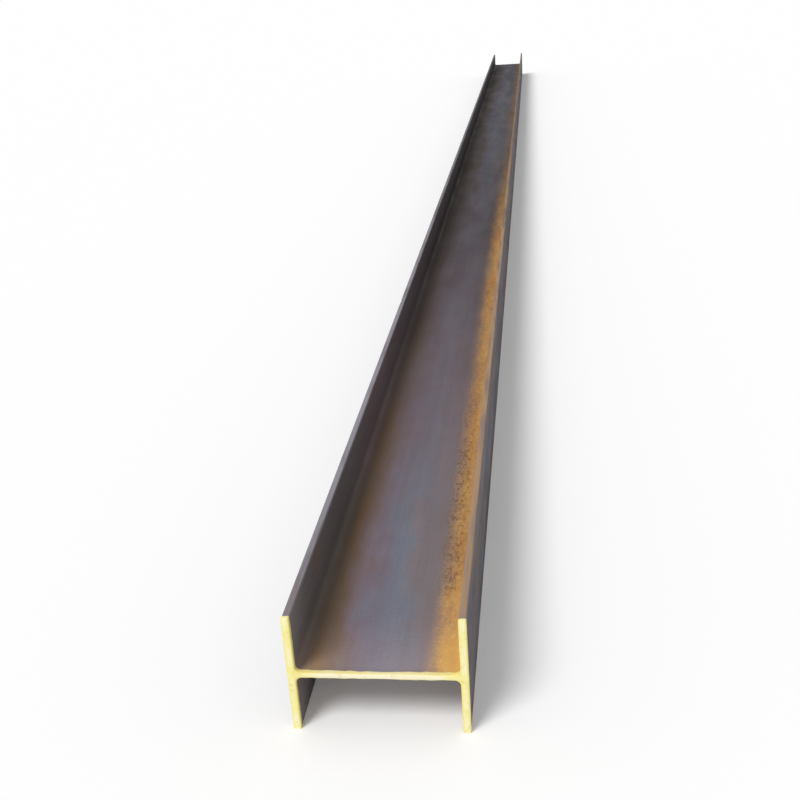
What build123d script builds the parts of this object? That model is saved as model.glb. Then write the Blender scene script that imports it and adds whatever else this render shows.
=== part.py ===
from build123d import *
import os

# Rolled section, in millimetres, named as the beam lies: web level, flanges upright
SECTION_DEPTH = 340.0     # across the outer faces of the flanges, along X
FLANGE_WIDTH = 250.0      # from toe to toe of one flange, along Z
WEB_THICKNESS = 9.0
FLANGE_THICKNESS = 14.0
ROOT_RADIUS = 13.0        # hollow fillet rolled where the web runs into a flange
TOE_RADIUS = 2.0          # rounding that the rolls leave along each flange edge

# Stock length between the sawn ends, along Y
BEAM_LENGTH = 12000.0


def rolled_section():
    """The H profile, upright in XZ on its flange toes, with the web above the origin."""
    flange_offset = (SECTION_DEPTH - FLANGE_THICKNESS) / 2
    mid_web = Plane.XZ.shift_origin((0, 0, FLANGE_WIDTH / 2))
    with BuildSketch(mid_web) as section:
        with Locations((-flange_offset, 0), (flange_offset, 0)):
            RectangleRounded(FLANGE_THICKNESS, FLANGE_WIDTH, TOE_RADIUS)
        Rectangle(SECTION_DEPTH - FLANGE_THICKNESS, WEB_THICKNESS)
        # The corners nearest to the middle of the web are where it meets the flanges
        root_corners = section.vertices().group_by(SortBy.DISTANCE)[0]
        fillet(root_corners, radius=ROOT_RADIUS)
    return section.sketch


def h_beam():
    """One straight length of the section, sawn square at both ends and centred along Y."""
    return extrude(rolled_section(), amount=BEAM_LENGTH / 2, both=True)


os.makedirs("parts", exist_ok=True)
export_step(h_beam(), "parts/h_beam.step")
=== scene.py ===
import math
import random
from collections import namedtuple

import bmesh
import bpy
from mathutils import Matrix, Vector, noise


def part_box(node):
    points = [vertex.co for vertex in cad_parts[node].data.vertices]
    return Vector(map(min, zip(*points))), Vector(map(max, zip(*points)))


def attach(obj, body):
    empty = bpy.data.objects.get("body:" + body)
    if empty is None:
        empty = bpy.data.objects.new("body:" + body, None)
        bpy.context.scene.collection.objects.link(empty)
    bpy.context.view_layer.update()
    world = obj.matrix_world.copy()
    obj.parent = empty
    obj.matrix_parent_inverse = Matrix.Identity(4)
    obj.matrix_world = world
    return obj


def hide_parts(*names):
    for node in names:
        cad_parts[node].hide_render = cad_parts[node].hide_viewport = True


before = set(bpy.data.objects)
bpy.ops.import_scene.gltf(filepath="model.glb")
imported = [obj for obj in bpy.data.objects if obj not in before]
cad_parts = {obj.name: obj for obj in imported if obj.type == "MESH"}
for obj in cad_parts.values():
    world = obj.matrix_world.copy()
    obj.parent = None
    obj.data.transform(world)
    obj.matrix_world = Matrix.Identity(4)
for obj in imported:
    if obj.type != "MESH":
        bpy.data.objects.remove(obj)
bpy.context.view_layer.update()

# The rolled section, in metres, as in the part's source
LOW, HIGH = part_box("h_beam")
WEB_THICKNESS = 0.009
FLANGE_THICKNESS = 0.014
ROOT_RADIUS = 0.013
TOE_RADIUS = 0.002
OUTER_X = HIGH.x
INNER_X = OUTER_X - FLANGE_THICKNESS
TOP_Z = HIGH.z
MID_Z = TOP_Z / 2
WEB_TOP_Z = MID_Z + WEB_THICKNESS / 2
WEB_LOW_Z = MID_Z - WEB_THICKNESS / 2
NEAR_Y = LOW.y
FAR_Y = HIGH.y
LENGTH = FAR_Y - NEAR_Y

# How finely the surface is divided: steps in metres, and counts round each arc
OUTLINE_STEP = 0.009
ROOT_ARC_STEPS = 6
TOE_ARC_STEPS = 4
FINE_STEP = 0.008
COARSE_STEP = 0.05
STEP_GROWTH = 1.05
END_BAND = 0.026          # length of the worked edge at each end
SHARP_ANGLE = math.radians(38)

# The painted end, in metres: its film, and how far back or in from the edge its shape turns
PAINT_FILM = 0.0006
PAINT_LAP = 0.009
PAINT_LAP_SWING = 0.0045
PAINT_FLAT_INSET = 0.0017
PAINT_RIM_INSET = 0.0008
PAINT_RIM_BACK = 0.0003
PAINT_CREST_BACK = 0.0016
PAINT_BURR_BACK = 0.0040
PAINT_THINNING = 0.0010
PAINT_TAIL = 0.0008

# The bare sawn end, in metres: how far back or in from the edge its shape turns
SAWN_START_BACK = 0.010
SAWN_BURR_BACK = 0.0030
SAWN_CREST_BACK = 0.0010
SAWN_RIM_BACK = 0.0001
SAWN_FLAT_INSET = 0.0012
SAWN_BURR_SHARE = 0.6     # of the burr at the painted end

# The burr at the sawn ends, and the waves and dents of the flange edges, in metres
BURR_HEIGHT = 0.0035
BURR_ELSEWHERE = 0.16     # share of that height away from the underside of the web
TOE_WAVE = 0.0004
NICKS_PER_TOE = 9
NICK_SEED = 41
NICK_END_GAP = 0.2
NICK_DEPTHS = (0.0004, 0.0014)
NICK_HALF_LENGTHS = (0.03, 0.07)

# The map that the finish is baked to: three lengths side by side, the painted edge and two caps
STRIP_COUNT = 3
STRIP_LENGTH = LENGTH / STRIP_COUNT
STRIP_BORDERS = [NEAR_Y + k * STRIP_LENGTH for k in range(1, STRIP_COUNT)]
STRIP_HEIGHT = 0.70
MAP_MARGIN = 0.006
EDGE_BASE = 0.715
EDGE_HEIGHT = 0.02
CAP_BASE = 0.75
NEAR_CAP_MIDDLE = 0.25
FAR_CAP_MIDDLE = 0.75
CAP_SCALE = 0.90          # map units per metre

# Places of the three finishes in the beam's list of materials
STEEL, PAINT, SAWN = range(3)

# Camera: the photo's eye point, turned towards the beam, with a longer lens
CAMERA_PLACE = Vector((0.305, -7.59, 1.341))
CAMERA_YAW = math.radians(2.3)
CAMERA_PITCH = math.radians(22.7)
CAMERA_TURN = math.radians(9.6)
CAMERA_LENS = 47.5

# Light: a soft sun from the front left, and an even pale sky
SUN_TRAVEL = Vector((0.355, 0.500, -0.790))
SUN_STRENGTH = 2.0
SUN_SOFTNESS = math.radians(24)
SKY_STRENGTH = 0.46
WHITE = (1, 1, 1, 1)
FLOOR_COLOUR = (0.94, 0.94, 0.94, 1)
FLOOR_LIFT = 0.09         # what the floor adds to its own white where it is seen
FLOOR_HALF = 400.0


def srgb(code):
    """A colour written as six hex digits, as the linear values that a shader takes."""
    channels = [int(code[i:i + 2], 16) / 255 for i in (0, 2, 4)]
    return tuple(c / 12.92 if c < 0.04045 else ((c + 0.055) / 1.055) ** 2.4 for c in channels) + (1.0,)


def smooth(low, high, value):
    """0 below low, 1 above high, and an even S between them."""
    t = min(max((value - low) / (high - low), 0.0), 1.0)
    return t * t * (3 - 2 * t)


# The section's outline

Spot = namedtuple("Spot", "x z nx nz way")


def section_corners():
    """The corners of the H, anticlockwise from the front, each with its radius."""
    return [
        (-OUTER_X, 0.0, TOE_RADIUS), (-INNER_X, 0.0, TOE_RADIUS),
        (-INNER_X, WEB_LOW_Z, ROOT_RADIUS), (INNER_X, WEB_LOW_Z, ROOT_RADIUS),
        (INNER_X, 0.0, TOE_RADIUS), (OUTER_X, 0.0, TOE_RADIUS),
        (OUTER_X, TOP_Z, TOE_RADIUS), (INNER_X, TOP_Z, TOE_RADIUS),
        (INNER_X, WEB_TOP_Z, ROOT_RADIUS), (-INNER_X, WEB_TOP_Z, ROOT_RADIUS),
        (-INNER_X, TOP_Z, TOE_RADIUS), (-OUTER_X, TOP_Z, TOE_RADIUS),
    ]


def corner_arc(before, corner, after, radius):
    """Points and outward normals round one square corner, hollow or proud."""
    steps = ROOT_ARC_STEPS if radius == ROOT_RADIUS else TOE_ARC_STEPS
    into = (corner - before).normalized()
    out = (after - corner).normalized()
    turn = 1 if into.x * out.y - into.y * out.x > 0 else -1
    centre = corner - into * radius + out * radius
    points = []
    for step in range(steps + 1):
        angle = step / steps * math.pi / 2
        ray = -out * math.cos(angle) + into * math.sin(angle)
        points.append((centre + ray * radius, ray * turn))
    return points


def outline_points():
    """Points and outward normals all round the section: its arcs, and even steps along its flats."""
    corners = section_corners()
    arcs = []
    for i, (x, z, radius) in enumerate(corners):
        before = Vector(corners[i - 1][:2])
        after = Vector(corners[(i + 1) % len(corners)][:2])
        arcs.append(corner_arc(before, Vector((x, z)), after, radius))
    points = []
    for i, arc in enumerate(arcs):
        points += arc
        start, normal = arc[-1]
        end = arcs[(i + 1) % len(arcs)][0][0]
        count = max(1, round((end - start).length / OUTLINE_STEP))
        points += [(start.lerp(end, k / count), normal) for k in range(1, count)]
    return points


def section_outline():
    """Those points as spots that know their way round so far, and the whole way round."""
    points = outline_points()
    spots = []
    way = 0.0
    for i, (point, normal) in enumerate(points):
        spots.append(Spot(point.x, point.y, normal.x, normal.y, way))
        way += (points[(i + 1) % len(points)][0] - point).length
    return spots, way


def section_noise(spot, swings, layer):
    """Smooth noise over the section, with so many swings in a metre and its own on each layer."""
    return noise.noise(Vector((spot.x * swings, spot.z * swings, layer)))


def beam_noise(spot, y, swings, shift=0.0):
    """Smooth noise over the beam, with so many swings in a metre along X, Y and Z."""
    return noise.noise(Vector((spot.x * swings[0] + shift, y * swings[1], spot.z * swings[2])))


# Where the rust, the brown bloom and the rubbed edges lie on the section

# A band along a root: its strength, the share of that in the root itself, and its widths in metres
Band = namedtuple("Band", "strength at_root web_width flange_width")

# Bands along the four roots, by side and level of the channel
RUST_BANDS = {
    ("right", "upper"): Band(1.0, 1.0, 0.048, 0.034),
    ("left", "upper"): Band(0.0, 1.0, 0.030, 0.020),
    ("right", "lower"): Band(0.60, 1.0, 0.050, 0.030),
    ("left", "lower"): Band(0.30, 1.0, 0.034, 0.022),
}
BLOOM_BANDS = {
    ("right", "upper"): Band(0.26, 1.0, 0.085, 0.060),
    ("left", "upper"): Band(0.92, 0.2, 0.056, 0.012),
    ("right", "lower"): Band(0.55, 1.0, 0.080, 0.050),
    ("left", "lower"): Band(0.60, 0.5, 0.070, 0.040),
}

# Where a band reaches its strength and where it fades, as shares of its width
BAND_RISE = 0.7
WEB_FADE = (0.18, 1.82)
FLANGE_FADE = (0.50, 1.50)

# Spans over which rust and rubbing thin out, and over which the painted light on the bloom at the
# painted end fades, in metres from the painted end or from a toe
FRESH_RUST = (0.12, 0.54)
OLD_RUST = (2.64, 6.0)
LIT_END_BLOOM = (0.0, 0.12)
TOE_RUB = (0.001, 0.007)


def channel_of(spot):
    """Which of the four roots a spot is nearest to."""
    side = "right" if spot.x > 0 else "left"
    level = "upper" if spot.z > MID_Z else "lower"
    return side, level


def band_weight(bands, spot):
    """How much of a root's band covers a spot, from 0 to 1."""
    across = INNER_X - abs(spot.x)
    up = abs(spot.z - MID_Z) - WEB_THICKNESS / 2
    if across < -TOE_RADIUS / 2:
        return 0.0
    band = bands[channel_of(spot)]
    rise = band.at_root + (1 - band.at_root) * smooth(0.0, BAND_RISE, across / band.web_width)
    on_web = rise * (1 - smooth(*WEB_FADE, across / band.web_width))
    on_flange = 1 - smooth(*FLANGE_FADE, up / band.flange_width)
    return band.strength * on_web * on_flange


def rust_weight(spot, y):
    """Orange rust: strongest at the painted end, thinner from half-way on."""
    near_end_boost = 0.15 * (1 - smooth(*FRESH_RUST, y - NEAR_Y))
    faded = 0.62 * smooth(*OLD_RUST, y - NEAR_Y)
    patchy = 0.10 * beam_noise(spot, y, swings=(4, 0.9, 4))
    return min(1.0, band_weight(RUST_BANDS, spot) * (1 + near_end_boost - faded + patchy))


def bloom_weight(spot, y):
    """Thin brown bloom, strongest at the painted end, where the extra is painted light."""
    # Painted light: extra tan bloom over the first stretch from the painted end.
    near_end_boost = 0.45 * (1 - smooth(*LIT_END_BLOOM, y - NEAR_Y))
    patchy = 0.20 * beam_noise(spot, y, swings=(5, 0.6, 5), shift=7)
    return min(1.0, band_weight(BLOOM_BANDS, spot) * (1 + near_end_boost + patchy))


def wear_weight(spot):
    """Flange edges rubbed by handling: 1 on the toes, 0 a short way from them."""
    toe_gap = min(spot.z, TOP_Z - spot.z)
    return 1 - smooth(*TOE_RUB, toe_gap)


# The beam's mesh

def nick_list():
    """Seeded handling dents on the four flange edges: place along, depth and half length."""
    draw = random.Random(NICK_SEED)
    nicks = {}
    for side in ("left", "right"):
        for level in ("upper", "lower"):
            nicks[side, level] = []
            for _ in range(NICKS_PER_TOE):
                where = draw.uniform(NEAR_Y + NICK_END_GAP, FAR_Y - NICK_END_GAP)
                depth = draw.uniform(*NICK_DEPTHS)
                nicks[side, level].append((where, depth, draw.uniform(*NICK_HALF_LENGTHS)))
    return nicks


NICKS = nick_list()


def toe_relief(spot, y):
    """How far a flange edge stands in from its true line, in waves and dents."""
    toe = wear_weight(spot)
    if toe == 0.0:
        return 0.0
    wave = TOE_WAVE * (beam_noise(spot, y, swings=(9, 3.1, 2)) - 1) / 2
    dents = 0.0
    for where, depth, half in NICKS[channel_of(spot)]:
        dents -= depth * (1 - smooth(0.0, half, abs(y - where)))
    return toe * (wave + dents)


def burr(spot):
    """Ragged metal and thick paint that the saw left hanging, mostly below the web."""
    under_web = smooth(0.2, 0.9, -spot.nz) if abs(spot.x) < INNER_X else 0.0
    share = BURR_ELSEWHERE + (1 - BURR_ELSEWHERE) * under_web
    coarse = section_noise(spot, swings=62, layer=3.7)
    fine = section_noise(spot, swings=190, layer=9.1)
    return BURR_HEIGHT * share * max(0.0, 0.35 + 0.55 * coarse + 0.30 * fine)


def paint_lap(spot):
    """How far the end paint runs back over the surface at a spot."""
    broad = section_noise(spot, swings=11, layer=1.3)
    fine = section_noise(spot, swings=70, layer=5.9)
    return PAINT_LAP + PAINT_LAP_SWING * (0.6 * broad + 0.5 * fine)


def painted_rings(spot):
    """Back from the near end plane and out from the surface: the paint film over the sawn edge."""
    lap = paint_lap(spot)
    hang = burr(spot)
    return [
        (-PAINT_FILM, -PAINT_FLAT_INSET),
        (-0.8 * PAINT_FILM, -PAINT_RIM_INSET),
        (PAINT_RIM_BACK, 0.5 * PAINT_FILM + 0.5 * hang),
        (PAINT_CREST_BACK, PAINT_FILM + hang),
        (PAINT_BURR_BACK, PAINT_FILM + 0.25 * hang),
        (lap - PAINT_THINNING, PAINT_FILM),
        (lap, 0.45 * PAINT_FILM),
        (lap + PAINT_TAIL, 0.0),
    ]


def sawn_rings(spot):
    """Back from the far end plane and out from the surface: the bare sawn edge."""
    hang = SAWN_BURR_SHARE * burr(spot)
    return [
        (SAWN_START_BACK, 0.0),
        (SAWN_BURR_BACK, 0.2 * hang),
        (SAWN_CREST_BACK, hang),
        (SAWN_RIM_BACK, 0.4 * hang),
        (0.0, -SAWN_FLAT_INSET),
    ]


def station_list():
    """Places along the beam between the worked ends, close near the front and wider further on."""
    places = list(STRIP_BORDERS)
    step = FINE_STEP
    y = NEAR_Y + END_BAND
    while y < FAR_Y - END_BAND:
        places.append(y)
        y += step
        step = min(step * STEP_GROWTH, COARSE_STEP)
    places.append(FAR_Y - END_BAND)
    return sorted(places)


def place(spot, y, out):
    """A spot at one place along the beam, moved out along its normal but not into the floor."""
    return Vector((spot.x + spot.nx * out, y, max(0.0, spot.z + spot.nz * out)))


def beam_rings(spots):
    """Every ring of points, from the front cap's rim to the back cap's rim."""
    near = zip(*[painted_rings(spot) for spot in spots])
    far = zip(*[sawn_rings(spot) for spot in spots])
    rings = [[place(s, NEAR_Y + back, out) for s, (back, out) in zip(spots, ring)] for ring in near]
    rings += [[place(s, y, toe_relief(s, y)) for s in spots] for y in station_list()]
    rings += [[place(s, FAR_Y - back, out) for s, (back, out) in zip(spots, ring)] for ring in far]
    return rings


def strip_uv(strip, turn, y):
    """A point of the long sides on the map, turn being its share of the way round."""
    u = (strip + turn) / STRIP_COUNT
    v = (y - NEAR_Y) / STRIP_LENGTH - strip
    return (MAP_MARGIN * (1 - 2 * turn) + u, MAP_MARGIN + v * (STRIP_HEIGHT - 2 * MAP_MARGIN))


def edge_uv(turn, y):
    """A point of the painted edge on the map."""
    back = min(max((y - NEAR_Y) / END_BAND, 0.0), 1.0)
    return (MAP_MARGIN + turn * (1 - 2 * MAP_MARGIN), EDGE_BASE + back * EDGE_HEIGHT)


def cap_uv(point, middle):
    """A point of an end cap on the map."""
    return (middle + point.x * CAP_SCALE, CAP_BASE + point.z * CAP_SCALE)


Face = namedtuple("Face", "points finish map_corners")


def side_faces(rings, spots, whole_way):
    """Faces of the long sides, between each ring of points and the next."""
    count = len(spots)
    turns = [spot.way / whole_way for spot in spots] + [1.0]
    painted_strips = len(painted_rings(spots[0])) - 1
    faces = []
    for k, (front, back) in enumerate(zip(rings, rings[1:])):
        painted = k < painted_strips
        strip = sum(front[0].y + back[0].y > 2 * border for border in STRIP_BORDERS)
        for i in range(count):
            j = (i + 1) % count
            points = (k * count + i, (k + 1) * count + i, (k + 1) * count + j, k * count + j)
            ends = ((turns[i], front[i].y), (turns[i], back[i].y),
                    (turns[i + 1], back[j].y), (turns[i + 1], front[j].y))
            corners = [edge_uv(t, y) if painted else strip_uv(strip, t, y) for t, y in ends]
            faces.append(Face(points, PAINT if painted else STEEL, corners))
    return faces


def cap_faces(rings):
    """The two end faces: painted in front, bare behind."""
    count = len(rings[0])
    near_points = tuple(range(count))
    far_points = tuple((len(rings) - 1) * count + i for i in reversed(near_points))
    near_corners = [cap_uv(point, NEAR_CAP_MIDDLE) for point in rings[0]]
    far_corners = [cap_uv(point, FAR_CAP_MIDDLE) for point in reversed(rings[-1])]
    return [Face(near_points, PAINT, near_corners), Face(far_points, SAWN, far_corners)]


def add_weights(mesh, name, values):
    """A number for each point of the mesh, which a material can read."""
    mesh.attributes.new(name, "FLOAT", "POINT").data.foreach_set("value", values)


def split_caps(mesh):
    """Divides both end caps into well-shaped triangles."""
    work = bmesh.new()
    work.from_mesh(mesh)
    caps = [face for face in work.faces if len(face.verts) > 4]
    bmesh.ops.triangulate(work, faces=caps, ngon_method="BEAUTY")
    work.to_mesh(mesh)
    work.free()


def beam_mesh(materials):
    """One closed mesh with its finishes, its map and the weights that the finish reads."""
    spots, whole_way = section_outline()
    rings = beam_rings(spots)
    sides = side_faces(rings, spots, whole_way)
    caps = cap_faces(rings)
    faces = sides + caps
    mesh = bpy.data.meshes.new("h_beam_rolled")
    mesh.from_pydata([point for ring in rings for point in ring], [], [face.points for face in faces])
    for material in materials:
        mesh.materials.append(material)
    mesh.polygons.foreach_set("material_index", [face.finish for face in faces])
    mesh.polygons.foreach_set("use_smooth", [True] * len(sides) + [False] * len(caps))
    mesh.set_sharp_from_angle(angle=SHARP_ANGLE)
    bake_map = mesh.uv_layers.new(name="OFBake")
    map_corners = [corner for face in faces for corner in face.map_corners]
    bake_map.data.foreach_set("uv", [value for corner in map_corners for value in corner])
    add_weights(mesh, "rust", [rust_weight(s, p.y) for ring in rings for s, p in zip(spots, ring)])
    add_weights(mesh, "bloom", [bloom_weight(s, p.y) for ring in rings for s, p in zip(spots, ring)])
    add_weights(mesh, "wear", [wear_weight(s) for ring in rings for s in spots])
    split_caps(mesh)
    mesh.validate()
    return mesh


def make_beam(materials):
    """The whole beam, in the place of its solid."""
    beam = bpy.data.objects.new("rolled_h_beam", beam_mesh(materials))
    bpy.context.collection.objects.link(beam)
    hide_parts("h_beam")
    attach(beam, "root")


# Colours of the finish

# Painted light: the pink of a lit strip at the painted end
LIT_END_PINK = srgb("94858b")
WEB_MAUVE = srgb("857780")
# Grime and painted shade beside the left root
CHANNEL_GRIME_AND_SHADE = srgb("3c3a40")
OUTER_BROWN = srgb("6f6258")
BARE_STEEL = srgb("8c7c72")
FRECKLE_RUST = srgb("8a6040")
SCUFF_GREY = srgb("8f8d93")
BLOOM_BROWN = srgb("9a7a58")
RUST_PALE = srgb("e2bd7c")
RUST_DEEP = srgb("b47c46")
RUST_SPOTS = srgb("7b5430")
# Painted light on the rust at the painted end
RUST_LIT_END_GOLD = srgb("e3b96c")
DARK_CRUST = srgb("57482f")
LEFT_TOE_GREY = srgb("918d95")
RIGHT_TOE_TAN = srgb("a68a6e")
# Painted highlight of the paint on the web
PAINT_LIT_CREAM = srgb("fcf5de")
PAINT_THICK = srgb("efdc66")
PAINT_BRUSHED = srgb("dcc766")
PAINT_WORN = srgb("a48a62")
SAWN_RUST = srgb("8f6848")

# Ranges of colour: a place from 0 to 1, and the colour there
# The web's scale: its own grey-brown to blue-grey, the blue partly a painted sheen of sky
WEB_SCALE_AND_SKY_SHEEN = [
    (0.06, srgb("73706f")),
    (0.17, srgb("7d6c66")),
    (0.30, srgb("82747f")),
    (0.50, srgb("7f7d8b")),
    (0.66, srgb("7e828f")),
    (0.84, srgb("867e84")),
]
# The outer faces' slate, darker than the web's scale partly as painted shade
OUTER_SCALE_AND_SHADE = [
    (0.32, srgb("50505c")),
    (0.50, srgb("63626e")),
    (0.68, srgb("787681")),
]
RUST_ORANGE = [
    (0.28, srgb("c48d55")),
    (0.46, srgb("d09c60")),
    (0.62, srgb("d8aa6c")),
    (0.78, srgb("d1975c")),
]
PAINT_YELLOW = [
    (0.30, srgb("f4e67e")),
    (0.48, srgb("f9f0a4")),
    (0.62, srgb("fcf6c2")),
    (0.78, srgb("fdf8da")),
]
SAWN_GREY = [
    (0.30, srgb("7d7a78")),
    (0.70, srgb("a09c98")),
]

# How strongly each mark covers the scale of the outer faces, and the share of it between the flanges
FLAKE_COVER = 0.38
DRIP_COVER = 0.55
FRECKLE_COVER = 0.75
SCUFF_COVER = 0.45
INNER_SHARE = 0.25
DRIP_END_Z = 0.09         # height at which the drips end, in metres

# How strongly the painted shade along the beam darkens a colour, 1 being as it darkens the scale
# between the flanges
OUTER_DULLING = 0.3
MARK_DULLING = 0.7
BLOOM_DULLING = 1.9

# Depths of fine relief, in metres
ROLLING_DEPTH = 0.00008
PIT_DEPTH = 0.00015
FLAKE_DEPTH = 0.00015
CRUST_DEPTH = 0.0005
PAINTED_SAW_DEPTH = 0.0002
PAINT_DEPTH = 0.0004
BARE_SAW_DEPTH = 0.0003

# Gloss: how much the scale reflects, and the roughness of each finish
SCALE_SPECULAR = 0.08
SCALE_ROUGHNESS = (0.60, 0.78)
RUST_ROUGHNESS = 0.92
PAINT_ROUGHNESS = (0.48, 0.66)
SAWN_ROUGHNESS = (0.42, 0.75)

# Where most values of a noise lie, and where nearly all of them do
MOST = (0.25, 0.75)
NEARLY_ALL = (0.2, 0.8)


# Materials

class Finish:
    """A material under construction: short names for the nodes that its recipe uses."""

    def __init__(self, name):
        self.material = bpy.data.materials.new(name)
        self.material.use_nodes = True
        self.tree = self.material.node_tree
        self.shader = self.tree.nodes["Principled BSDF"]
        self.place = self.tree.nodes.new("ShaderNodeTexCoord").outputs["Object"]

    def feed(self, socket, value):
        """Links a socket to a socket, or sets a plain value on it."""
        if isinstance(value, bpy.types.NodeSocket):
            self.tree.links.new(value, socket)
        else:
            socket.default_value = value

    def weight(self, name):
        """A number that the mesh carries."""
        node = self.tree.nodes.new("ShaderNodeAttribute")
        node.attribute_name = name
        return node.outputs["Fac"]

    def along(self, axis):
        """The place on the object along X, Y or Z, in metres."""
        node = self.tree.nodes.new("ShaderNodeSeparateXYZ")
        self.feed(node.inputs[0], self.place)
        return node.outputs[axis]

    def grain(self, size, stretch=(1, 1, 1), detail=3.0, rough=0.55, warp=0.0):
        """Noise from 0 to 1 with grains of about that size in metres, drawn out by stretch."""
        mapping = self.tree.nodes.new("ShaderNodeMapping")
        self.feed(mapping.inputs["Vector"], self.place)
        mapping.inputs["Scale"].default_value = [1 / (size * s) for s in stretch]
        node = self.tree.nodes.new("ShaderNodeTexNoise")
        self.feed(node.inputs["Vector"], mapping.outputs[0])
        node.inputs["Scale"].default_value = 1.0
        node.inputs["Detail"].default_value = detail
        node.inputs["Roughness"].default_value = rough
        node.inputs["Distortion"].default_value = warp
        return node.outputs[0]

    def sweep(self, value, span, ends=(0.0, 1.0)):
        """From the first end to the second as a number crosses the span, in an even S."""
        node = self.tree.nodes.new("ShaderNodeMapRange")
        node.interpolation_type = "SMOOTHSTEP"
        self.feed(node.inputs["Value"], value)
        node.inputs["From Min"].default_value = span[0]
        node.inputs["From Max"].default_value = span[1]
        node.inputs["To Min"].default_value = ends[0]
        node.inputs["To Max"].default_value = ends[1]
        return node.outputs[0]

    def from_end(self, span, ends=(0.0, 1.0)):
        """A sweep along the beam, its span in metres from the painted end."""
        return self.sweep(self.along("Y"), (NEAR_Y + span[0], NEAR_Y + span[1]), ends)

    def above_web(self, span, ends=(0.0, 1.0)):
        """A sweep up the flanges, its span in metres above the web."""
        return self.sweep(self.along("Z"), (WEB_TOP_Z + span[0], WEB_TOP_Z + span[1]), ends)

    def calculate(self, operation, first, second=0.0):
        """Arithmetic on one or two numbers."""
        node = self.tree.nodes.new("ShaderNodeMath")
        node.operation = operation
        self.feed(node.inputs[0], first)
        self.feed(node.inputs[1], second)
        return node.outputs[0]

    def plus(self, total, *others):
        """Numbers added up."""
        for other in others:
            total = self.calculate("ADD", total, other)
        return total

    def times(self, product, *others):
        """Numbers multiplied."""
        for other in others:
            product = self.calculate("MULTIPLY", product, other)
        return product

    def apart(self, value, centre=0.0):
        """How far a number lies from a centre, either way."""
        return self.calculate("ABSOLUTE", self.calculate("SUBTRACT", value, centre))

    def blend(self, share, first, second, mode="MIX"):
        """Two colours mixed by a share."""
        node = self.tree.nodes.new("ShaderNodeMix")
        node.data_type = "RGBA"
        node.blend_type = mode
        self.feed(node.inputs[0], share)
        self.feed(node.inputs[6], first)
        self.feed(node.inputs[7], second)
        return node.outputs[2]

    def shade(self, colour, level, strength=1.0):
        """A colour darkened by a level: a strength over 1 darkens it more, and one under 1 less."""
        if strength != 1.0:
            level = self.calculate("POWER", level, strength)
        return self.blend(1.0, colour, level, "MULTIPLY")

    def bands(self, value, stops):
        """Colours along a number from 0 to 1: pairs of place and colour."""
        node = self.tree.nodes.new("ShaderNodeValToRGB")
        self.feed(node.inputs[0], value)
        ramp = node.color_ramp
        while len(ramp.elements) < len(stops):
            ramp.elements.new(0.5)
        for element, (where, colour) in zip(ramp.elements, stops):
            element.position = where
            element.color = colour
        return node.outputs[0]

    def bump(self, height, depth, before=None):
        """Relief of that depth in metres, on top of any relief made before."""
        node = self.tree.nodes.new("ShaderNodeBump")
        node.inputs["Distance"].default_value = depth
        self.feed(node.inputs["Height"], height)
        if before is not None:
            self.feed(node.inputs["Normal"], before)
        return node.outputs[0]

    def set(self, **values):
        """Feeds the shader's own sockets, with spaces in their names written as underscores."""
        for name, value in values.items():
            self.feed(self.shader.inputs[name.replace("_", " ")], value)
        return self.material


def painted_light_level(finish):
    """A level of painted light and shade: brighter at the painted end as painted light, darker further
    on and again near the far end as painted shade, and less of that shade up the flanges.
    """
    lit_end = finish.from_end((0.0, 0.22), (0.16, 0.0))
    duller = finish.from_end((-0.5, 3.6), (0.93, 0.35))
    far_end = finish.from_end((LENGTH - 4.0, LENGTH), (0.0, -0.10))
    # Less of the painted shade up the flanges, further along the beam.
    less_shade_up_flanges = finish.times(finish.above_web((0.02, 0.08)), finish.from_end((2.0, 5.0), (0.0, 0.16)))
    return finish.plus(lit_end, duller, far_end, less_shade_up_flanges)


def on_outer_face(finish):
    """1 on the outer faces of the flanges, 0 between them."""
    aside = finish.apart(finish.along("X"))
    return finish.sweep(aside, (INNER_X + 0.004, OUTER_X - 0.001))


def web_patches(finish):
    """Blue-grey scale, its blue partly a painted sheen of sky, mauve to the left of the middle, in
    drifting patches.
    """
    across = finish.sweep(finish.along("X"), (-INNER_X, INNER_X), (0.08, 0.92))
    drift = finish.grain(size=0.40, stretch=(0.8, 4.0, 0.8), detail=2.0)
    patch = finish.grain(size=0.12, stretch=(0.9, 2.2, 0.9))
    drifting = finish.sweep(drift, MOST, (-0.16, 0.16))
    patchy = finish.sweep(patch, MOST, (-0.20, 0.20))
    return finish.bands(finish.plus(across, drifting, patchy), WEB_SCALE_AND_SKY_SHEEN)


def web_tint(finish):
    """The patches: pinker at the painted end as painted light, mauve after a stride, then darker on
    the left with grime and painted shade.
    """
    # Painted light: a pinker strip at the painted end.
    lit_end = finish.from_end((0.02, 0.20), (0.45, 0.0))
    on_web = finish.above_web((0.006, 0.035), (1.0, 0.1))
    tint = finish.blend(finish.times(lit_end, on_web), web_patches(finish), LIT_END_PINK)
    begin = finish.from_end((0.4, 1.3), (0.0, 0.66))
    stop = finish.from_end((3.0, 5.5), (1.0, 0.0))
    tint = finish.blend(finish.times(begin, stop), tint, WEB_MAUVE)
    # Grime and painted shade beside the left root, growing further on.
    left = finish.sweep(finish.along("X"), (-INNER_X + 0.03, 0.02), (0.58, 0.0))
    low = finish.above_web((0.015, 0.075), (1.0, 0.1))
    grime_and_shade = finish.times(left, finish.from_end((1.0, 5.0)), low)
    return finish.blend(grime_and_shade, tint, CHANNEL_GRIME_AND_SHADE)


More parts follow.
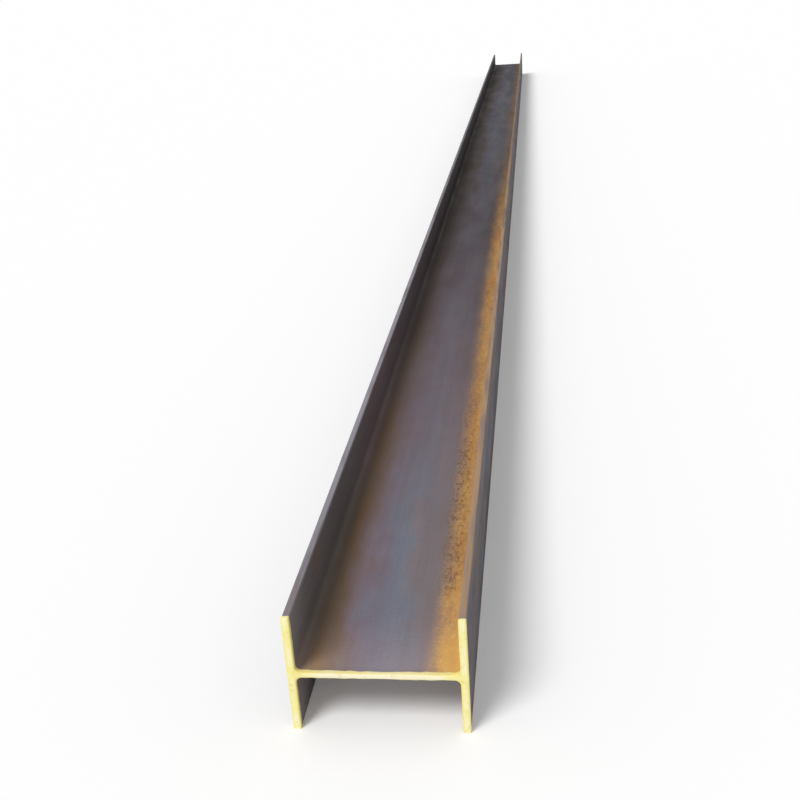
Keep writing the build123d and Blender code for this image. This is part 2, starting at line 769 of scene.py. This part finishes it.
def outer_tint(finish):
    """Slate scale of the outer faces, darker than the web's partly as painted shade, browner in broad
    patches.
    """
    cloud = finish.grain(size=0.07, stretch=(1, 2.5, 1), detail=5.0, rough=0.62)
    broad = finish.grain(size=0.28, stretch=(1, 3.0, 0.7))
    browner = finish.sweep(broad, (0.44, 0.66), (0.0, 0.7))
    return finish.blend(browner, finish.bands(cloud, OUTER_SCALE_AND_SHADE), OUTER_BROWN)


def scale_tone(finish):
    """Light and dark in the scale: rolling streaks, clouds and fine pepper, about 1."""
    streak = finish.grain(size=0.02, stretch=(1, 50, 1), detail=4.0, rough=0.6)
    cloud = finish.grain(size=0.09, stretch=(1, 3, 1), detail=5.0, rough=0.6)
    pepper = finish.grain(size=0.003, stretch=(1, 1.8, 1), rough=0.7)
    streaked = finish.sweep(streak, NEARLY_ALL, (0.93, 1.05))
    clouded = finish.sweep(cloud, NEARLY_ALL, (-0.09, 0.09))
    peppered = finish.sweep(pepper, MOST, (-0.08, 0.08))
    return finish.plus(streaked, clouded, peppered)


def scale_colour(finish, level, outer):
    """The mill scale, darkened along the beam by painted shade, less so on the outer faces."""
    tone = scale_tone(finish)
    inside = finish.shade(finish.shade(web_tint(finish), tone), level)
    outside = finish.shade(finish.shade(outer_tint(finish), tone), level, OUTER_DULLING)
    return finish.blend(outer, inside, outside)


def flaked_scale(finish):
    """Patches where the scale has come off."""
    patch = finish.grain(size=0.022, stretch=(1, 3.0, 1), detail=6.0, rough=0.66, warp=0.4)
    return finish.sweep(patch, (0.575, 0.665))


def drips(finish):
    """Brown runs down the outer faces from the upper flange edges."""
    runs = finish.grain(size=0.010, stretch=(1, 1, 16))
    reach = finish.sweep(finish.along("Z"), (DRIP_END_Z, TOP_Z))
    return finish.times(finish.sweep(runs, (0.55, 0.68)), reach)


def freckles(finish):
    """Small dots of rust, gathered in places."""
    dots = finish.grain(size=0.006, stretch=(1, 1.3, 1), rough=0.6)
    places = finish.grain(size=0.20, stretch=(1, 2.0, 1), detail=2.0)
    return finish.times(finish.sweep(dots, (0.60, 0.68)), finish.sweep(places, (0.42, 0.60)))


def scuffs(finish):
    """Thin pale scratches along the beam."""
    lines = finish.grain(size=0.0022, stretch=(1, 110, 1), detail=2.0)
    lengths = finish.grain(size=0.30, stretch=(0.3, 1, 0.3), detail=2.0)
    return finish.times(finish.sweep(lines, (0.64, 0.72)), finish.sweep(lengths, (0.50, 0.60)))


def marked_scale(finish, level, outer):
    """Mill scale with flaked patches, drips, freckles and scuffs, all stronger on the outer faces."""
    share = finish.sweep(outer, (0.0, 1.0), (INNER_SHARE, 1.0))
    # Bare steel and freckles take the painted shade along the beam too, more weakly.
    bare = finish.shade(BARE_STEEL, level, MARK_DULLING)
    brown = finish.shade(FRECKLE_RUST, level, MARK_DULLING)
    colour = scale_colour(finish, level, outer)
    colour = finish.blend(finish.times(flaked_scale(finish), share, FLAKE_COVER), colour, bare)
    colour = finish.blend(finish.times(drips(finish), outer, DRIP_COVER), colour, brown)
    colour = finish.blend(finish.times(freckles(finish), share, FRECKLE_COVER), colour, brown)
    return finish.blend(finish.times(scuffs(finish), share, SCUFF_COVER), colour, SCUFF_GREY)


def brown_bloom(finish, level, scale):
    """A thin brown bloom over the scale beside the roots."""
    grain = finish.grain(size=0.06, stretch=(1, 8, 1), detail=4.0, rough=0.6)
    share = finish.times(finish.weight("bloom"), finish.sweep(grain, MOST, (0.5, 1.0)))
    # The bloom takes the painted shade along the beam more strongly than the scale.
    return finish.blend(share, scale, finish.shade(BLOOM_BROWN, level, BLOOM_DULLING))


def rust_cover(finish):
    """Where orange rust lies: bands beside the roots that thin out in flecks."""
    ragged = finish.grain(size=0.03, stretch=(1, 4.0, 1), detail=5.0, rough=0.65)
    flecks = finish.grain(size=0.0045, stretch=(1, 1.6, 1), rough=0.6)
    broken = finish.sweep(ragged, NEARLY_ALL, (0.65, 1.30))
    flecked = finish.sweep(flecks, MOST, (-0.25, 0.25))
    return finish.sweep(finish.times(finish.weight("rust"), finish.plus(broken, flecked)), (0.0, 1.0))


def rust_colour(finish):
    """Ochre to burnt orange, mottled, crusted in small spots, golden and brighter at the painted end
    as painted light, and darker further on as painted shade.
    """
    cloud = finish.grain(size=0.05, stretch=(1, 4, 1), detail=4.0, rough=0.6)
    mottle = finish.grain(size=0.013, stretch=(1, 1.6, 1), detail=4.0, rough=0.65)
    spots = finish.grain(size=0.006, rough=0.7)
    colour = finish.bands(cloud, RUST_ORANGE)
    colour = finish.blend(finish.sweep(mottle, (0.52, 0.66), (0.0, 0.55)), colour, RUST_PALE)
    colour = finish.blend(finish.sweep(mottle, (0.34, 0.46), (0.35, 0.0)), colour, RUST_DEEP)
    colour = finish.blend(finish.sweep(spots, (0.60, 0.72), (0.0, 0.45)), colour, RUST_SPOTS)
    # Painted light: golden, brighter rust at the painted end; painted shade: darker rust further on.
    colour = finish.blend(finish.from_end((0.05, 0.26), (0.55, 0.0)), colour, RUST_LIT_END_GOLD)
    near_end_boost = finish.from_end((0.0, 0.5), (0.22, 0.0))
    duller = finish.from_end((2.2, 5.5), (0.78, 0.50))
    return finish.shade(colour, finish.plus(near_end_boost, duller))


def crust_cover(finish):
    """Dark flecks that roughen the edges of the rust, mostly along the first metre or so."""
    stretch = finish.times(finish.from_end((0.23, 0.31)), finish.from_end((0.9, 1.5), (1.0, 0.25)))
    rust = finish.weight("rust")
    thinner = finish.sweep(rust, (0.80, 0.95), (1.0, 0.15))
    edge = finish.times(finish.sweep(rust, (0.02, 0.40)), thinner)
    flecks = finish.grain(size=0.0055, stretch=(1, 2.4, 1), detail=4.0, rough=0.7)
    return finish.times(stretch, edge, finish.sweep(flecks, (0.44, 0.70), (0.0, 0.8)))


def rubbed_toes(finish, colour):
    """Flange edges rubbed pale, greyer on the left and more tan on the right, darker further on as
    painted shade.
    """
    grain = finish.grain(size=0.02, stretch=(1, 12, 1), detail=4.0)
    share = finish.times(finish.weight("wear"), finish.sweep(grain, (0.3, 0.6), (0.35, 1.0)))
    pale = finish.blend(finish.sweep(finish.along("X"), (-0.1, 0.1)), LEFT_TOE_GREY, RIGHT_TOE_TAN)
    return finish.blend(share, colour, finish.shade(pale, finish.from_end((1.5, 6.0), (1.0, 0.52))))


def steel_relief(finish, rust):
    """Rolling lines, pitted skin, the steps of flaked scale and crusty rust."""
    lines = finish.grain(size=0.004, stretch=(1, 60, 1), detail=2.0)
    pits = finish.grain(size=0.0035, detail=4.0, rough=0.65)
    crust = finish.grain(size=0.0028, rough=0.7)
    relief = finish.bump(lines, ROLLING_DEPTH)
    relief = finish.bump(pits, PIT_DEPTH, relief)
    relief = finish.bump(finish.times(flaked_scale(finish), -1.0), FLAKE_DEPTH, relief)
    return finish.bump(finish.times(crust, rust), CRUST_DEPTH, relief)


def steel_roughness(finish, rust):
    """Scale with a dull sheen in places, and quite dull rust."""
    gloss = finish.grain(size=0.08, stretch=(1, 6, 1))
    scale = finish.sweep(gloss, MOST, SCALE_ROUGHNESS)
    return finish.calculate("MAXIMUM", scale, finish.times(rust, RUST_ROUGHNESS))


def rolled_steel():
    """Hot-rolled mill scale with rust along the roots and rubbed flange edges."""
    finish = Finish("rolled_steel_scale")
    level = painted_light_level(finish)
    outer = on_outer_face(finish)
    rust = rust_cover(finish)
    colour = brown_bloom(finish, level, marked_scale(finish, level, outer))
    colour = finish.blend(rust, colour, rust_colour(finish))
    colour = finish.blend(crust_cover(finish), colour, DARK_CRUST)
    colour = rubbed_toes(finish, colour)
    finish.set(Base_Color=colour, Specular_IOR_Level=SCALE_SPECULAR)
    return finish.set(Roughness=steel_roughness(finish, rust), Normal=steel_relief(finish, rust))


def paint_rim(finish):
    """1 along the edges of the sawn face, where the paint lies thicker, and 0 inside them."""
    from_flange = finish.apart(finish.apart(finish.along("X")), OUTER_X - FLANGE_THICKNESS / 2)
    from_web = finish.apart(finish.along("Z"), MID_Z)
    in_flange = finish.sweep(from_flange, (0.0030, 0.0068), (1.0, 0.0))
    in_web = finish.sweep(from_web, (0.0034, 0.0052), (1.0, 0.0))
    return finish.calculate("SUBTRACT", 1.0, finish.calculate("MAXIMUM", in_flange, in_web))


def paint_colour(finish, cloud):
    """Yellow, paler cream on the web as a painted highlight, deeper where it lies thick, and worn
    through in small spots.
    """
    brush = finish.grain(size=0.0022, stretch=(6, 1, 6), rough=0.6)
    thin = finish.grain(size=0.007, detail=5.0, rough=0.7)
    # Painted highlight: paler cream over the web.
    on_web = finish.sweep(finish.apart(finish.along("X")), (0.09, 0.155), (0.75, 0.0))
    colour = finish.blend(on_web, finish.bands(cloud, PAINT_YELLOW), PAINT_LIT_CREAM)
    thick = finish.times(paint_rim(finish), finish.sweep(cloud, (0.35, 0.65), (0.35, 0.7)))
    colour = finish.blend(thick, colour, PAINT_THICK)
    colour = finish.blend(finish.sweep(brush, (0.54, 0.70), (0.0, 0.35)), colour, PAINT_BRUSHED)
    return finish.blend(finish.sweep(thin, (0.62, 0.72), (0.0, 0.55)), colour, PAINT_WORN)


def end_paint():
    """Yellow marking paint, brushed over the sawn end."""
    finish = Finish("yellow_end_paint")
    cloud = finish.grain(size=0.05, detail=4.0, rough=0.6)
    saw = finish.grain(size=0.0016, stretch=(30, 1, 1), detail=2.0)
    relief = finish.bump(saw, PAINTED_SAW_DEPTH)
    relief = finish.bump(finish.grain(size=0.004, detail=4.0), PAINT_DEPTH, relief)
    roughness = finish.sweep(cloud, (0.3, 0.7), PAINT_ROUGHNESS)
    return finish.set(Base_Color=paint_colour(finish, cloud), Roughness=roughness, Normal=relief)


def sawn_steel():
    """Bare sawn end: dull grey steel with saw lines and a skin of light rust."""
    finish = Finish("sawn_steel_end")
    saw = finish.grain(size=0.0022, stretch=(40, 1, 1))
    skin = finish.grain(size=0.04, detail=5.0, rough=0.65)
    rusted = finish.sweep(skin, (0.45, 0.68), (0.0, 0.8))
    colour = finish.blend(rusted, finish.bands(saw, SAWN_GREY), SAWN_RUST)
    roughness = finish.sweep(skin, (0.40, 0.70), SAWN_ROUGHNESS)
    return finish.set(Base_Color=colour, Roughness=roughness, Normal=finish.bump(saw, BARE_SAW_DEPTH))


# Floor, light and camera

def seen_rays(tree):
    """1 for rays that show a surface, straight or by reflection, and 0 for those that light it."""
    rays = tree.nodes.new("ShaderNodeLightPath")
    seen = rays.outputs["Is Camera Ray"]
    for kind in ("Is Glossy Ray", "Is Transmission Ray"):
        either = tree.nodes.new("ShaderNodeMath")
        either.operation = "MAXIMUM"
        tree.links.new(seen, either.inputs[0])
        tree.links.new(rays.outputs[kind], either.inputs[1])
        seen = either.outputs[0]
    return seen


def floor_paint():
    """Plain pale matt, lifted to white where it is seen."""
    material = bpy.data.materials.new("pale_floor")
    material.use_nodes = True
    tree = material.node_tree
    shader = tree.nodes["Principled BSDF"]
    shader.inputs["Base Color"].default_value = FLOOR_COLOUR
    shader.inputs["Roughness"].default_value = 1.0
    shader.inputs["Specular IOR Level"].default_value = 0.0
    shader.inputs["Emission Color"].default_value = WHITE
    lift = tree.nodes.new("ShaderNodeMath")
    lift.operation = "MULTIPLY"
    lift.inputs[1].default_value = FLOOR_LIFT
    tree.links.new(seen_rays(tree), lift.inputs[0])
    tree.links.new(lift.outputs[0], shader.inputs["Emission Strength"])
    return material


def make_floor():
    """A plain pale floor under the beam."""
    corners = [(-FLOOR_HALF, -FLOOR_HALF, 0), (FLOOR_HALF, -FLOOR_HALF, 0),
               (FLOOR_HALF, FLOOR_HALF, 0), (-FLOOR_HALF, FLOOR_HALF, 0)]
    mesh = bpy.data.meshes.new("floor")
    mesh.from_pydata(corners, [], [(0, 1, 2, 3)])
    mesh.materials.append(floor_paint())
    floor = bpy.data.objects.new("floor", mesh)
    bpy.context.collection.objects.link(floor)


def make_sky():
    """An even sky that lights softly and looks white to the camera and in reflections."""
    world = bpy.data.worlds.new("studio")
    world.use_nodes = True
    bpy.context.scene.world = world
    tree = world.node_tree
    background = tree.nodes["Background"]
    background.inputs["Color"].default_value = WHITE
    strength = tree.nodes.new("ShaderNodeMapRange")
    strength.inputs["To Min"].default_value = SKY_STRENGTH
    strength.inputs["To Max"].default_value = 1.0
    tree.links.new(seen_rays(tree), strength.inputs["Value"])
    tree.links.new(strength.outputs[0], background.inputs["Strength"])


def make_sun():
    """One soft key light, high at the front left."""
    lamp = bpy.data.lights.new("key", "SUN")
    lamp.energy = SUN_STRENGTH
    lamp.angle = SUN_SOFTNESS
    key = bpy.data.objects.new("key", lamp)
    key.rotation_mode = "QUATERNION"
    key.rotation_quaternion = SUN_TRAVEL.to_track_quat("-Z", "Y")
    bpy.context.collection.objects.link(key)


def make_camera():
    """The photo's eye point, turned about its own upright so that the beam fills the frame."""
    data = bpy.data.cameras.new("camera")
    data.lens = CAMERA_LENS
    data.clip_end = 2 * FLOOR_HALF
    camera = bpy.data.objects.new("camera", data)
    yaw = Matrix.Rotation(-CAMERA_YAW, 4, "Z")
    pitch = Matrix.Rotation(math.pi / 2 - CAMERA_PITCH, 4, "X")
    turn = Matrix.Rotation(CAMERA_TURN, 4, "Y")
    camera.matrix_world = Matrix.Translation(CAMERA_PLACE) @ yaw @ pitch @ turn
    bpy.context.collection.objects.link(camera)
    bpy.context.scene.camera = camera


make_camera()
make_floor()
make_sky()
make_sun()
make_beam([rolled_steel(), end_paint(), sawn_steel()])
bpy.context.scene.view_settings.view_transform = "Standard"
bpy.context.view_layer.update()
